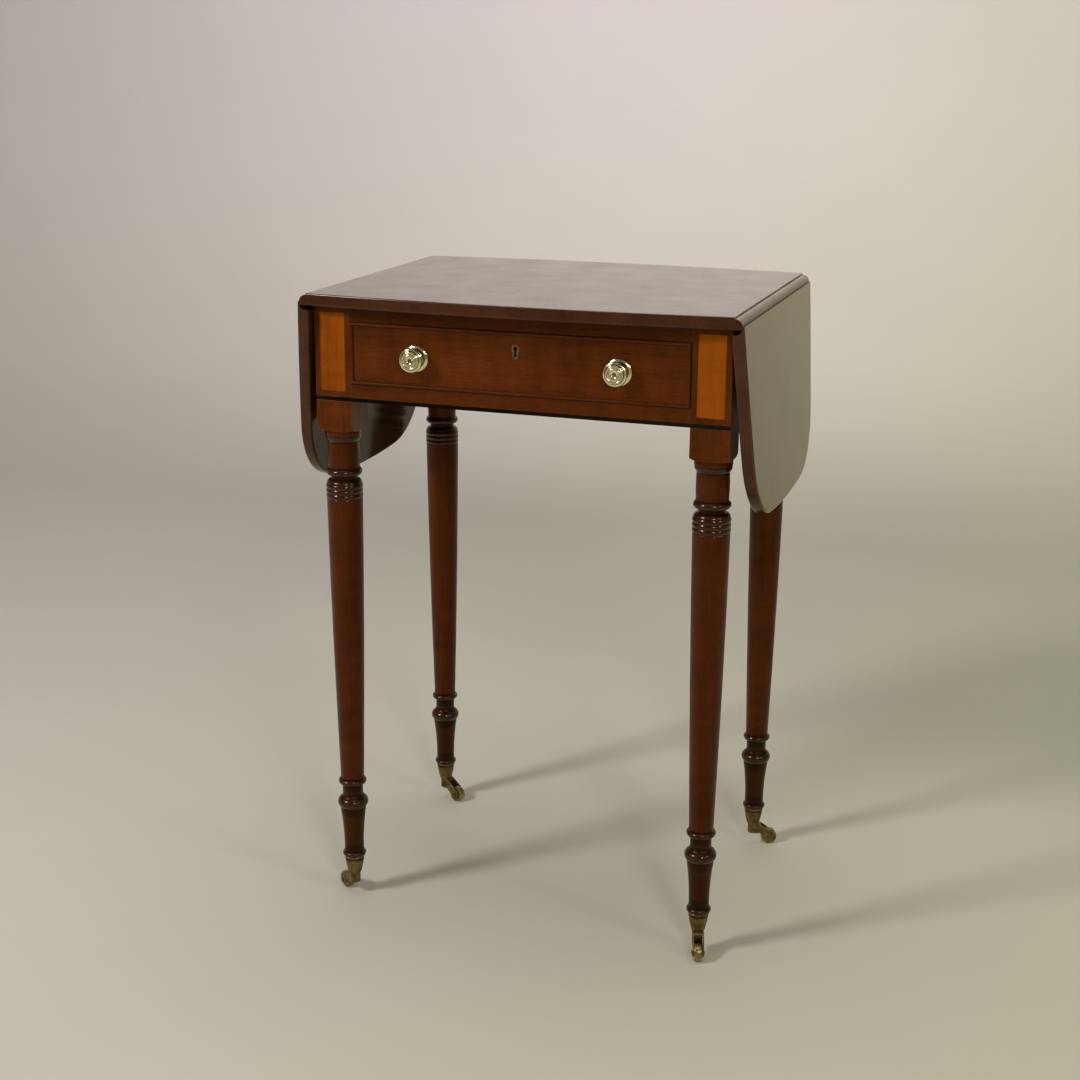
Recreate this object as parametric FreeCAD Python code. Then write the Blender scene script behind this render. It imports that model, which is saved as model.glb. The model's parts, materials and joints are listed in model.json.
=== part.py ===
import FreeCAD, Part
import math
import os
from FreeCAD import Vector

# A small pembroke table. The bowed top carries a drop leaf on a rule joint along each side, the
# frieze holds a drawer in front and a sham drawer at the back, and the turned legs stand on brass
# casters. Millimetres, +Z up; the origin is on the floor under the middle, the drawer faces -Y.

# Frame
table_height = 717.5
frame_width = 460.0
frame_depth = 331.0
frieze_height = 103.5
leg_square = 42.0
square_below_frieze = 30.0

# Top and leaves
board_thickness = 13.5
front_overhang = 26.5
bow_rise = 13.0
edge_round = 2.5
leaf_reach = 215.0
leaf_corner_radius = 84.0
leaf_end_radius = 1000.0
leaf_splay = 4.5
leaf_stop_gap = 0.3

# Rule joint and its hinges
rule_step = 1.8
rule_radius = 8.2
rule_gap = 0.3
hinge_length = 50.0
hinge_spread = 190.0
flap_thickness = 1.6
short_flap = 26.0
long_flap = 40.0
knuckle_count = 5
knuckle_gap = 0.2
knuckle_room = 0.8
hinge_pin_radius = 1.0
running_clearance = 0.05
hinge_screw_length = 8.0
hinge_screw_radius = 1.4
hinge_screw_head_radius = 2.8

# Rails
upper_rail_height = 16.5
lower_rail_height = 19.5
front_rail_depth = 26.0
back_rail_thickness = 18.0
side_rail_thickness = 13.0
tenon_length = 14.0
tenon_shoulder = 3.5

# Fly rails and brackets
fly_thickness = 16.0
fly_gap = 0.3
fly_pivot_y = 40.0
fly_reach = 140.0
fly_height = 76.0
fly_tip_height = 28.0
fly_top_gap = 0.5
fly_kerf = 1.5
fly_finger_count = 5
fly_pin_radius = 2.5
fly_pin_inset = 2.0
fly_pin_clearance = 0.1

# Inlay
panel_width = 28.5
panel_height = 85.0
panel_foot = 11.0
inlay_depth = 1.0
ebony_line_height = 4.2

# Drawer
drawer_gap = 0.5
drawer_front_thickness = 18.0
drawer_side_thickness = 8.0
drawer_side_inset = 0.5
drawer_side_drop = 4.0
drawer_back_thickness = 7.0
drawer_bottom_thickness = 5.0
drawer_bottom_lift = 8.0
drawer_groove = 4.0
drawer_back_room = 24.5
drawer_running_gap = 0.2
dovetail_lap = 7.0
dovetail_count = 3
dovetail_pin_width = 7.0
dovetail_slope = 6.0
bead_width = 3.0
bead_proud = 2.2
bead_depth = 6.0
runner_width = 18.0
runner_height = 16.0
kicker_gap = 1.0
stop_width = 24.0
stop_length = 7.0
stop_height = 4.0
stop_spread = 200.0
stop_gap = 0.3
corner_block_leg = 18.0
corner_block_height = 50.0
corner_block_foot = 30.0

# Screws that hold the top
top_screw_radius = 2.0
top_screw_head_radius = 4.0
top_screw_head_height = 2.4
top_screw_bite = 8.0
top_screw_spread = 260.0
top_screw_pitch = 160.0

# Knobs, keyhole and lock
knob_spread = 224.0
knob_drop = 1.0
knob_radius = 12.9
knob_rose_radius = 14.2
knob_projection = 18.5
knob_spindle_radius = 2.5
knob_nut_radius = 5.0
knob_nut_thickness = 4.0
sham_spindle_length = 12.0
keyhole_inset = 17.3
escutcheon_head_radius = 4.1
escutcheon_tail_radius = 2.7
escutcheon_drop = 8.6
escutcheon_depth = 2.5
escutcheon_proud = 0.3
keyhole_radius = 2.2
keyhole_slot = 2.4
lock_width = 52.0
lock_height = 30.0
lock_depth = 9.0
lock_top_gap = 0.3
lock_face = 1.5
bolt_width = 16.0
bolt_thickness = 4.6
bolt_height = 18.0
bolt_gap = 0.2
bolt_travel = 6.5
mortice_room = 0.5

# Leg turning, diameters and heights from the square down
pommel_height = 5.0
pommel_rise = 1.6
neck_ring_d = 39.5
neck_ring_height = 7.0
neck_ovolo_height = 6.0
collar_d = 34.5
collar_height = 31.0
collar_swell = 0.4
bead_d = 40.0
bead_height = 8.5
throat_d = 28.5
throat_height = 4.0
reed_band_d = 41.0
reed_shoulder_height = 5.0
reed_count = 3
reed_height = 5.5
reed_groove = 0.9
shaft_top_d = 40.0
shaft_foot_d = 26.7
shaft_swell = 0.8
ankle_ring_d = 32.4
ankle_ring_height = 7.0
ankle_neck_d = 23.6
ankle_neck_height = 10.5
ankle_flare_height = 7.0
ankle_flare_hollow = 1.2
bulb_d = 35.5
bulb_height = 11.0
bulb_edge_d = 30.5
foot_neck_d = 22.6
foot_height = 57.5
foot_hollow = 1.2
foot_ring_d = 27.4
foot_ring_height = 6.0

# Casters
wheel_d = 19.6
wheel_width = 8.4
wheel_crown = 0.5
wheel_rim = 3.0
wheel_dish = 1.0
caster_height = 28.5
caster_trail = 20.5
caster_turn = {"front_left": 142.0, "front_right": -74.0, "back_left": -20.0, "back_right": 22.0}
cup_height = 21.5
cup_top_d = 22.9
cup_foot_d = 15.6
cup_wall = 1.5
cup_base = 7.0
cup_rim_height = 2.0
cup_rim_proud = 0.7
fork_stem_radius = 6.3
fork_width = 13.0
fork_eye_radius = 5.0
fork_heel_rise = 5.5
fork_heel_round = 1.5
fork_hood_rise = 7.6
fork_side_gap = 0.4
fork_wheel_gap = 0.8
fork_thrust_gap = 0.1
pivot_radius = 2.5
pivot_length = 6.0
pivot_end_gap = 0.2
axle_radius = 2.0
axle_head_radius = 3.0
axle_head_height = 0.9

# Heights and half sizes that follow
top_underside = table_height - board_thickness
frieze_foot = top_underside - frieze_height
square_foot = frieze_foot - square_below_frieze
half_width = frame_width / 2
half_depth = frame_depth / 2
leg_x = half_width - leg_square / 2
leg_y = half_depth - leg_square / 2
leg_inner_x = half_width - leg_square
leg_inner_y = half_depth - leg_square
pin_depth = rule_step + rule_radius
pin_z = table_height - pin_depth
under_pin = board_thickness - pin_depth
cove_radius = rule_radius + rule_gap
splay = math.radians(leaf_splay)
lip_inset = under_pin * math.cos(splay) - cove_radius * math.sin(splay)
hinge_x = half_width + leaf_stop_gap + lip_inset
top_half_depth = half_depth + front_overhang
bow_radius = (hinge_x ** 2 + bow_rise ** 2) / (2 * bow_rise)

ORIGIN = Vector(0, 0, 0)
X = Vector(1, 0, 0)
Y = Vector(0, 1, 0)
Z = Vector(0, 0, 1)
parts = {}


def box(low, high):
    size = Vector(*high) - Vector(*low)
    return Part.makeBox(size.x, size.y, size.z, Vector(*low))


def rod(radius, start, direction, length):
    return Part.makeCylinder(radius, length, Vector(*start), direction)


def flat_outline(points, place):
    """A face bounded by straight lines; place turns each pair of numbers into a point."""
    corners = [place(*point) for point in points]
    return Part.Face(Part.makePolygon(corners + corners[:1]))


def line(start, end):
    return Part.LineSegment(start, end).toShape()


def arc(start, middle, end):
    return Part.Arc(start, middle, end).toShape()


def on_xz(x, z):
    return Vector(x, 0, z)


def on_yz(y, z):
    return Vector(0, y, z)


def on_xy(x, y):
    return Vector(x, y, 0)


def mirror_x(shape):
    return shape.mirror(ORIGIN, X)


def mirror_y(shape):
    return shape.mirror(ORIGIN, Y)


def moved(shape, x=0.0, y=0.0, z=0.0):
    return shape.translated(Vector(x, y, z))


class Turning:
    """A lathe profile cut from the top down: a radius at each height about the Z axis."""

    def __init__(self, radius, z):
        self.point = on_xz(radius, z)
        self.edges = [line(on_xz(0, z), self.point)]

    def cut(self, radius, drop=0.0):
        end = on_xz(radius, self.point.z - drop)
        self.edges.append(line(self.point, end))
        self.point = end

    def curve(self, radius, drop, bulge):
        """An arc to the new radius whose middle stands out by bulge, or in where it is negative."""
        end = on_xz(radius, self.point.z - drop)
        chord = end - self.point
        outward = Vector(-chord.z, 0, chord.x).normalize()
        middle = (self.point + end) / 2 + outward * bulge
        self.edges.append(arc(self.point, middle, end))
        self.point = end

    def solid(self):
        self.cut(0.0)
        axis = line(self.point, on_xz(0, self.edges[0].Vertexes[0].Z))
        face = Part.Face(Part.Wire(self.edges + [axis]))
        return face.revolve(ORIGIN, Z, 360)


# Rails. Each is a board with a stub tenon at both ends, let into the leg squares.

def tenoned_rail(low, high, along):
    tenon_low = [a + tenon_shoulder for a in low]
    tenon_high = [a - tenon_shoulder for a in high]
    tenon_low[along] = low[along] - tenon_length
    tenon_high[along] = high[along] + tenon_length
    return box(low, high).fuse(box(tenon_low, tenon_high)).removeSplitter()


opening_foot = frieze_foot + lower_rail_height
opening_head = top_underside - upper_rail_height
front_rail_back = -half_depth + front_rail_depth
back_rail_face = half_depth - back_rail_thickness
side_rail_outer = leg_inner_x + side_rail_thickness

upper_rail = tenoned_rail((-leg_inner_x, -half_depth, opening_head),
                          (leg_inner_x, front_rail_back, top_underside), 0)
lower_rail = tenoned_rail((-leg_inner_x, -half_depth, frieze_foot),
                          (leg_inner_x, front_rail_back, opening_foot), 0)
back_rail = tenoned_rail((-leg_inner_x, back_rail_face, frieze_foot),
                         (leg_inner_x, half_depth, top_underside), 0)
right_side_rail = tenoned_rail((leg_inner_x, -leg_inner_y, frieze_foot),
                               (side_rail_outer, leg_inner_y, top_underside), 1)
left_side_rail = mirror_x(right_side_rail)


# Legs. The square's corners are rounded under on the lathe, and the foot ends in a taper that
# fills the caster's cup.

cup_foot = caster_height
cup_head = cup_foot + cup_height


def cup_radius(z):
    share = (z - cup_foot) / cup_height
    return (cup_foot_d + (cup_top_d - cup_foot_d) * share) / 2


spigot_foot = cup_foot + cup_base
spigot_head_radius = cup_radius(cup_head) - cup_wall
spigot_foot_radius = cup_radius(spigot_foot) - cup_wall


def leg_square_block():
    half = leg_square / 2
    corner = half * math.sqrt(2)
    blank = box((-half, -half, square_foot - pommel_height), (half, half, top_underside))
    pommel = Turning(corner + 1, top_underside)
    pommel.cut(corner + 1, top_underside - square_foot)
    pommel.curve(neck_ring_d / 2, pommel_height, pommel_rise)
    return blank.common(pommel.solid())


def leg_turning():
    turned_head = square_foot - pommel_height
    turned_height = turned_head - cup_head
    upper_turning = (neck_ring_height + neck_ovolo_height + collar_height + bead_height + throat_height
                     + reed_shoulder_height + reed_count * reed_height)
    lower_turning = (ankle_ring_height + ankle_neck_height + ankle_flare_height + bulb_height + foot_height
                     + foot_ring_height)
    shaft_height = turned_height - upper_turning - lower_turning
    cut = Turning(neck_ring_d / 2, turned_head + pommel_height)
    cut.cut(neck_ring_d / 2, pommel_height)
    cut.curve(neck_ring_d / 2, neck_ring_height, 0.5)
    cut.curve(collar_d / 2, neck_ovolo_height, 0.8)
    cut.curve(collar_d / 2, collar_height, collar_swell)
    cut.curve(throat_d / 2 + 1, bead_height, (bead_d - collar_d) / 2 + 1)
    cut.cut(throat_d / 2)
    cut.cut(throat_d / 2, throat_height)
    reed_root = reed_band_d / 2 - reed_groove
    cut.curve(reed_root, reed_shoulder_height, 1.6)
    for _ in range(reed_count):
        cut.curve(reed_root, reed_height, reed_groove)
    cut.cut(shaft_top_d / 2)
    cut.curve(shaft_foot_d / 2, shaft_height, shaft_swell)
    cut.curve(ankle_neck_d / 2, ankle_ring_height, ankle_ring_d / 2 - (shaft_foot_d + ankle_neck_d) / 4)
    cut.cut(ankle_neck_d / 2, ankle_neck_height)
    cut.curve(bulb_edge_d / 2, ankle_flare_height, -ankle_flare_hollow)
    cut.curve(bulb_edge_d / 2, bulb_height, (bulb_d - bulb_edge_d) / 2)
    cut.curve(foot_neck_d / 2, foot_height, -foot_hollow)
    cut.curve(foot_neck_d / 2, foot_ring_height, (foot_ring_d - foot_neck_d) / 2)
    cut.cut(spigot_head_radius)
    cut.cut(spigot_foot_radius, cup_head - spigot_foot)
    return cut.solid()


panel_low = frieze_foot + panel_foot
panel_high = panel_low + panel_height


def leg_panel(x):
    return box((x - panel_width / 2, -half_depth, panel_low),
               (x + panel_width / 2, -half_depth + inlay_depth, panel_high))


def ebony_line(low_x, high_x):
    return box((low_x, -half_depth, frieze_foot),
               (high_x, -half_depth + inlay_depth, frieze_foot + ebony_line_height))


front_panels = [leg_panel(-leg_x), leg_panel(leg_x)]
leg_lines = [ebony_line(-half_width, -leg_inner_x), ebony_line(leg_inner_x, half_width)]
rail_line = ebony_line(-leg_inner_x, leg_inner_x)
front_inlay = front_panels + leg_lines + [rail_line]
back_inlay = [mirror_y(piece) for piece in front_inlay]
inlay = Part.Compound(front_inlay + back_inlay)
lower_rail = lower_rail.cut(rail_line)
back_rail = back_rail.cut(mirror_y(rail_line))

corners = {"front_left": (-1, -1), "front_right": (1, -1), "back_left": (-1, 1), "back_right": (1, 1)}
frame_tenons = [upper_rail, lower_rail, back_rail, right_side_rail, left_side_rail]
plain_leg = leg_square_block().fuse(leg_turning()).removeSplitter()
for corner, (side, end) in corners.items():
    leg = moved(plain_leg, side * leg_x, end * leg_y)
    parts["leg_" + corner] = leg.cut(frame_tenons).cut(inlay)

parts["satinwood_panels"] = Part.Compound(front_panels + [mirror_y(piece) for piece in front_panels])
front_lines = leg_lines + [rail_line]
parts["ebony_lines"] = Part.Compound(front_lines + [mirror_y(piece) for piece in front_lines])


# Fly rails. Outside each side rail lies a second rail, cut through by a curve: one part is glued
# on, the other swings out on a wooden knuckle to carry the raised leaf.

fly_inner = side_rail_outer
fly_outer = fly_inner + fly_thickness
knuckle_radius = (fly_thickness - fly_gap) / 2
fly_axis_x = fly_outer - knuckle_radius
fly_head = top_underside - fly_top_gap
fly_foot = fly_head - fly_height
fly_tip_y = fly_pivot_y - fly_reach
fly_tip_foot = fly_head - fly_tip_height


def fly_profile(grow):
    """The bracket seen from the side, from its knuckle to its tip, with an S-curved lower edge."""
    root_low = on_yz(fly_pivot_y, fly_foot - grow)
    belly_y = fly_pivot_y - fly_reach * 0.3
    belly = on_yz(belly_y, fly_foot - grow)
    tip_low = on_yz(fly_tip_y - grow, fly_tip_foot - grow)
    bend = (belly + tip_low) / 2
    swell = fly_height * 0.06
    tip_high = on_yz(fly_tip_y - grow, fly_head + grow)
    root_high = on_yz(fly_pivot_y, fly_head + grow)
    edges = [
        line(root_low, belly),
        arc(belly, (belly + bend) / 2 - Z * swell, bend),
        arc(bend, (bend + tip_low) / 2 + Z * swell, tip_low),
        line(tip_low, tip_high),
        line(tip_high, root_high),
        line(root_high, root_low),
    ]
    return Part.Face(Part.Wire(edges))


def fly_wedge(side):
    """The bevel of one shoulder, 45 degrees from the knuckle's centre to the outer face."""
    reach = fly_thickness
    points = [(fly_axis_x, fly_pivot_y), (fly_axis_x + reach, fly_pivot_y),
              (fly_axis_x + reach, fly_pivot_y + side * reach)]
    face = flat_outline(points, lambda x, y: Vector(x, y, fly_foot - fly_kerf))
    return face.extrude(Z * (fly_height + 2 * fly_kerf))


def knuckle_finger(index, radius, clearance):
    pitch = fly_height / fly_finger_count
    low = fly_foot + index * pitch + clearance
    return rod(radius, (fly_axis_x, fly_pivot_y, low), Z, pitch - 2 * clearance)


rail_fingers = range(0, fly_finger_count, 2)
bracket_fingers = range(1, fly_finger_count, 2)
fly_pin = rod(fly_pin_radius, (fly_axis_x, fly_pivot_y, fly_foot + fly_pin_inset), Z,
              fly_height - 2 * fly_pin_inset)
fly_pin_bore = rod(fly_pin_radius + fly_pin_clearance, (fly_axis_x, fly_pivot_y, fly_foot), Z, fly_height)

fly_blank = box((fly_inner, -leg_inner_y, frieze_foot), (fly_outer, leg_inner_y, top_underside))
fly_opening = moved(fly_profile(fly_kerf).extrude(X * (fly_thickness + 2)), x=fly_inner - 1)
fly_rail = fly_blank.cut([fly_opening, fly_wedge(1)])
fly_rail = fly_rail.fuse([knuckle_finger(i, knuckle_radius, fly_gap / 2) for i in rail_fingers])
fly_rail = fly_rail.cut([knuckle_finger(i, knuckle_radius + fly_gap, -fly_gap / 2) for i in bracket_fingers])
right_fly_rail = fly_rail.cut(fly_pin).removeSplitter()

bracket_width = 2 * knuckle_radius
bracket = moved(fly_profile(0.0).extrude(X * bracket_width), x=fly_outer - bracket_width)
bracket = bracket.cut(fly_wedge(-1))
bracket = bracket.fuse([knuckle_finger(i, knuckle_radius, fly_gap / 2) for i in bracket_fingers])
bracket = bracket.cut([knuckle_finger(i, knuckle_radius + fly_gap, -fly_gap / 2) for i in rail_fingers])
right_fly_bracket = bracket.cut(fly_pin_bore).removeSplitter()

parts["right_side_rail"] = right_side_rail
parts["left_side_rail"] = left_side_rail
parts["right_fly_rail"] = right_fly_rail
parts["left_fly_rail"] = mirror_x(right_fly_rail)
parts["right_fly_bracket"] = right_fly_bracket
parts["left_fly_bracket"] = mirror_x(right_fly_bracket)
parts["fly_pins"] = Part.Compound([fly_pin, mirror_x(fly_pin)])


# Top and leaves. The boards are drawn flat, as when the leaves are raised: one bow runs along the
# front of all three. The right leaf is then turned down about the hinge pin.

def bow_disc(side):
    centre = Vector(0, side * (top_half_depth - bow_radius), top_underside - 1)
    return Part.makeCylinder(bow_radius, board_thickness + 2, centre, Z)


bowed_plan = bow_disc(-1).common(bow_disc(1))
level_top = table_height
ovolo_foot_x = hinge_x + math.sqrt(rule_radius ** 2 - under_pin ** 2)


def is_level(edge, z):
    return all(abs(vertex.Z - z) < 0.001 for vertex in edge.Vertexes)


def round_board_edge(board):
    """Rounds the curved outline of a board, above and below, and leaves its hinge edge square."""
    outline = []
    for edge in board.Edges:
        level = is_level(edge, level_top) or is_level(edge, top_underside)
        if level and isinstance(edge.Curve, Part.Circle):
            outline.append(edge)
    return board.makeFillet(edge_round, outline)


def centre_board():
    """Both long edges carry the step and the quarter round of the rule joint."""
    round_head = on_xz(hinge_x, pin_z + rule_radius)
    round_nose = on_xz(hinge_x + rule_radius, pin_z)
    round_foot = on_xz(ovolo_foot_x, top_underside)
    step_head = on_xz(hinge_x, level_top)
    edges = [
        line(on_xz(0, level_top), step_head),
        line(step_head, round_head),
        arc(round_head, on_xz(hinge_x + rule_radius * math.sqrt(0.5), pin_z + rule_radius * math.sqrt(0.5)),
            round_nose),
        arc(round_nose, on_xz(hinge_x + rule_radius * math.cos(math.asin(under_pin / rule_radius) / 2),
                              pin_z - rule_radius * math.sin(math.asin(under_pin / rule_radius) / 2)),
            round_foot),
        line(round_foot, on_xz(0, top_underside)),
        line(on_xz(0, top_underside), on_xz(0, level_top)),
    ]
    half = Part.Face(Part.Wire(edges)).extrude(Y * (2 * top_half_depth))
    half = moved(half, y=-top_half_depth)
    board = half.fuse(mirror_x(half)).removeSplitter()
    return round_board_edge(board.common(bowed_plan).removeSplitter())


def raised_leaf():
    """The hinge edge is hollowed to ride over the top's quarter round."""
    leaf_end = hinge_x + leaf_reach
    lip = on_xz(hinge_x + rule_gap, level_top)
    cove_head = on_xz(hinge_x + rule_gap, pin_z + math.sqrt(cove_radius ** 2 - rule_gap ** 2))
    cove_middle = on_xz(hinge_x + cove_radius * math.sqrt(0.5), pin_z + cove_radius * math.sqrt(0.5))
    cove_foot = on_xz(hinge_x + cove_radius, pin_z)
    heel = on_xz(hinge_x + cove_radius, top_underside)
    edges = [
        line(lip, cove_head),
        arc(cove_head, cove_middle, cove_foot),
        line(cove_foot, heel),
        line(heel, on_xz(leaf_end + 1, top_underside)),
        line(on_xz(leaf_end + 1, top_underside), on_xz(leaf_end + 1, level_top)),
        line(on_xz(leaf_end + 1, level_top), lip),
    ]
    board = Part.Face(Part.Wire(edges)).extrude(Y * (2 * top_half_depth))
    board = moved(board, y=-top_half_depth)
    end_disc = Part.makeCylinder(leaf_end_radius, board_thickness + 2,
                                 Vector(leaf_end - leaf_end_radius, 0, top_underside - 1), Z)
    board = board.common(bowed_plan).common(end_disc).removeSplitter()
    far_corners = []
    for edge in board.Edges:
        upright = abs(edge.tangentAt(edge.FirstParameter).z) > 0.999
        if upright and edge.CenterOfMass.x > hinge_x + leaf_reach / 2:
            far_corners.append(edge)
    return round_board_edge(board.makeFillet(leaf_corner_radius, far_corners).removeSplitter())


# Hinges, drawn about the pin with the leaf raised: a short flap on the top, a long one on the leaf,
# both let in flush, with the knuckle sunk into the wood.

hinge_ys = (-hinge_spread / 2, hinge_spread / 2)
flap_floor = -under_pin
flap_ceiling = flap_floor + flap_thickness
knuckle_set_back = under_pin + knuckle_gap * 3


def hinge_knuckle(index):
    pitch = hinge_length / knuckle_count
    start = -hinge_length / 2 + index * pitch + knuckle_gap / 2
    length = pitch - knuckle_gap
    barrel = rod(under_pin, (0, start, 0), Y, length)
    tongue = box((0, start, flap_floor), (knuckle_set_back, start + length, flap_ceiling))
    return barrel.fuse(tongue)


def flap_plate(width):
    return box((knuckle_set_back, -hinge_length / 2, flap_floor), (width, hinge_length / 2, flap_ceiling))


def hinge_flap(width, indexes, bore):
    flap = flap_plate(width).fuse([hinge_knuckle(index) for index in indexes])
    return flap.cut(rod(bore, (0, -hinge_length, 0), Y, 2 * hinge_length)).removeSplitter()


def flap_screws(width):
    screw = Turning(hinge_screw_radius, hinge_screw_length)
    screw.cut(hinge_screw_radius, hinge_screw_length - flap_thickness)
    screw.cut(hinge_screw_head_radius, flap_thickness)
    screw = screw.solid()
    row_x = (width + knuckle_set_back) / 2
    return [moved(screw, row_x, y, flap_floor) for y in (-hinge_length / 3, hinge_length / 3)]


def knuckle_groove():
    """Room in the underside of the top for the knuckle and for the leaf's flap to turn."""
    half = hinge_length / 2 + knuckle_gap * 2
    room = under_pin + knuckle_room
    round_top = rod(room, (0, -half, 0), Y, 2 * half)
    square = box((-room, -half, flap_floor - 1), (room, half, 0))
    under_ovolo = box((0, -half, flap_floor - 1), (cove_radius, half, flap_ceiling + rule_gap))
    return round_top.fuse([square, under_ovolo])


top_flap = mirror_x(hinge_flap(short_flap, range(0, knuckle_count, 2), hinge_pin_radius))
top_flap_seat = mirror_x(flap_plate(short_flap))
top_flap_screws = [mirror_x(screw) for screw in flap_screws(short_flap)]
leaf_flap = hinge_flap(long_flap, range(1, knuckle_count, 2), hinge_pin_radius + running_clearance)
leaf_flap_seat = flap_plate(long_flap)
leaf_flap_screws = flap_screws(long_flap)
hinge_pin = rod(hinge_pin_radius, (0, -hinge_length / 2, 0), Y, hinge_length)


def at_hinges(shapes):
    return [moved(shape, hinge_x, y, pin_z) for y in hinge_ys for shape in shapes]


def hung(shape):
    """Turns a raised leaf, or what is fixed to it, down about the right hinge pin."""
    return shape.rotated(Vector(hinge_x, 0, pin_z), Y, 90 - leaf_splay)


def both_sides(shapes):
    return shapes + [mirror_x(shape) for shape in shapes]


top_screw_solids = both_sides(at_hinges(top_flap_screws))
top_cuts = both_sides(at_hinges([knuckle_groove(), top_flap_seat])) + top_screw_solids
table_top = centre_board().cut(top_cuts)

top_flaps = at_hinges([top_flap.cut(top_flap_screws)])
parts["hinge_top_flaps"] = Part.Compound(both_sides(top_flaps))
parts["hinge_top_screws"] = Part.Compound(top_screw_solids)
parts["hinge_pins"] = Part.Compound(both_sides(at_hinges([hinge_pin])))

leaf_screw_solids = at_hinges(leaf_flap_screws)
right_leaf = hung(raised_leaf().cut(at_hinges([leaf_flap_seat]) + leaf_screw_solids))
right_leaf_flaps = hung(Part.Compound(at_hinges([leaf_flap.cut(leaf_flap_screws)])))
right_leaf_screws = hung(Part.Compound(leaf_screw_solids))
parts["right_leaf"] = right_leaf
parts["left_leaf"] = mirror_x(right_leaf)
parts["right_leaf_flaps"] = right_leaf_flaps
parts["left_leaf_flaps"] = mirror_x(right_leaf_flaps)
parts["right_leaf_screws"] = right_leaf_screws
parts["left_leaf_screws"] = mirror_x(right_leaf_screws)


# Runners, kickers, stops and corner blocks, glued inside the frame round the drawer.

drawer_front_foot = opening_foot + drawer_gap
drawer_front_head = opening_head - drawer_gap
drawer_side_head = drawer_front_head - drawer_side_drop
drawer_side_foot = opening_foot + drawer_running_gap
drawer_front_back = -half_depth + drawer_front_thickness

right_runner = box((leg_inner_x - runner_width, front_rail_back, opening_foot - runner_height),
                   (leg_inner_x, back_rail_face, opening_foot))
right_kicker = box((leg_inner_x - runner_width, front_rail_back, drawer_side_head + kicker_gap),
                   (leg_inner_x, back_rail_face, top_underside))
stop_y = drawer_front_back + stop_gap
right_stop = box((stop_spread / 2 - stop_width / 2, stop_y, opening_foot),
                 (stop_spread / 2 + stop_width / 2, stop_y + stop_length, opening_foot + stop_height))
block_points = [(leg_inner_x, back_rail_face), (leg_inner_x - corner_block_leg, back_rail_face),
                (leg_inner_x, back_rail_face - corner_block_leg)]
block_foot = frieze_foot + corner_block_foot
right_block = flat_outline(block_points, on_xy).extrude(Z * corner_block_height)
right_block = moved(right_block, z=block_foot)
parts["drawer_runners"] = Part.Compound([right_runner, mirror_x(right_runner)])
parts["drawer_stops"] = Part.Compound([right_stop, mirror_x(right_stop)])
parts["corner_blocks"] = Part.Compound([right_block, mirror_x(right_block)])


# Screws up through the kickers and the upper rail into the top, with their heads sunk.

def top_screw(x, y, foot):
    head_z = foot + top_screw_head_height
    shank = rod(top_screw_radius, (x, y, head_z), Z, top_underside + top_screw_bite - head_z)
    return rod(top_screw_head_radius, (x, y, foot), Z, top_screw_head_height).fuse(shank).removeSplitter()


kicker_x = leg_inner_x - runner_width / 2
kicker_foot = drawer_side_head + kicker_gap
rail_screw_y = -half_depth + front_rail_depth / 2
right_screws = [top_screw(kicker_x, y, kicker_foot) for y in (-top_screw_pitch / 2, top_screw_pitch / 2)]
right_screws.append(top_screw(top_screw_spread / 2, rail_screw_y, opening_head))
top_screws = both_sides(right_screws)
parts["top_screws"] = Part.Compound(top_screws)
parts["table_top"] = table_top.cut(top_screws)
parts["drawer_kickers"] = Part.Compound([right_kicker, mirror_x(right_kicker)]).cut(top_screws)


# Drawer. The front is edged with a cock bead in a rebate; the sides are dovetailed into the front
# and the back; the bottom runs in grooves and passes under the back.

drawer_half = leg_inner_x - drawer_gap
side_outer = drawer_half - drawer_side_inset
side_inner = side_outer - drawer_side_thickness
drawer_end = back_rail_face - drawer_back_room
bottom_foot = drawer_side_foot + drawer_bottom_lift
bottom_head = bottom_foot + drawer_bottom_thickness


def dovetail_waste(end_y, shoulder_y):
    """The wedges sawn out between the tails at one end of the right drawer side."""
    pitch = (drawer_side_head - drawer_side_foot) / dovetail_count
    flare = abs(shoulder_y - end_y) / dovetail_slope / 2
    wide = dovetail_pin_width / 2 + flare
    narrow = dovetail_pin_width / 2 - flare
    wedges = []
    for index in range(dovetail_count + 1):
        z = drawer_side_foot + index * pitch
        points = [(end_y, z - narrow), (end_y, z + narrow), (shoulder_y, z + wide), (shoulder_y, z - wide)]
        face = flat_outline(points, lambda y, height: Vector(side_inner, y, height))
        wedges.append(face.extrude(X * drawer_side_thickness))
    return wedges


drawer_bottom = box((-side_inner - drawer_groove, drawer_front_back - drawer_groove, bottom_foot),
                    (side_inner + drawer_groove, drawer_end, bottom_head))
tail_front = -half_depth + dovetail_lap
side_blank = box((side_inner, tail_front, drawer_side_foot), (side_outer, drawer_end, drawer_side_head))
back_shoulder = drawer_end - drawer_back_thickness
right_side = side_blank.cut(dovetail_waste(tail_front, drawer_front_back)
                            + dovetail_waste(drawer_end, back_shoulder) + [drawer_bottom])
left_side = mirror_x(right_side)
drawer_back = box((-side_outer, back_shoulder, bottom_head), (side_outer, drawer_end, drawer_side_head))
drawer_back = drawer_back.cut([right_side, left_side])


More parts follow.
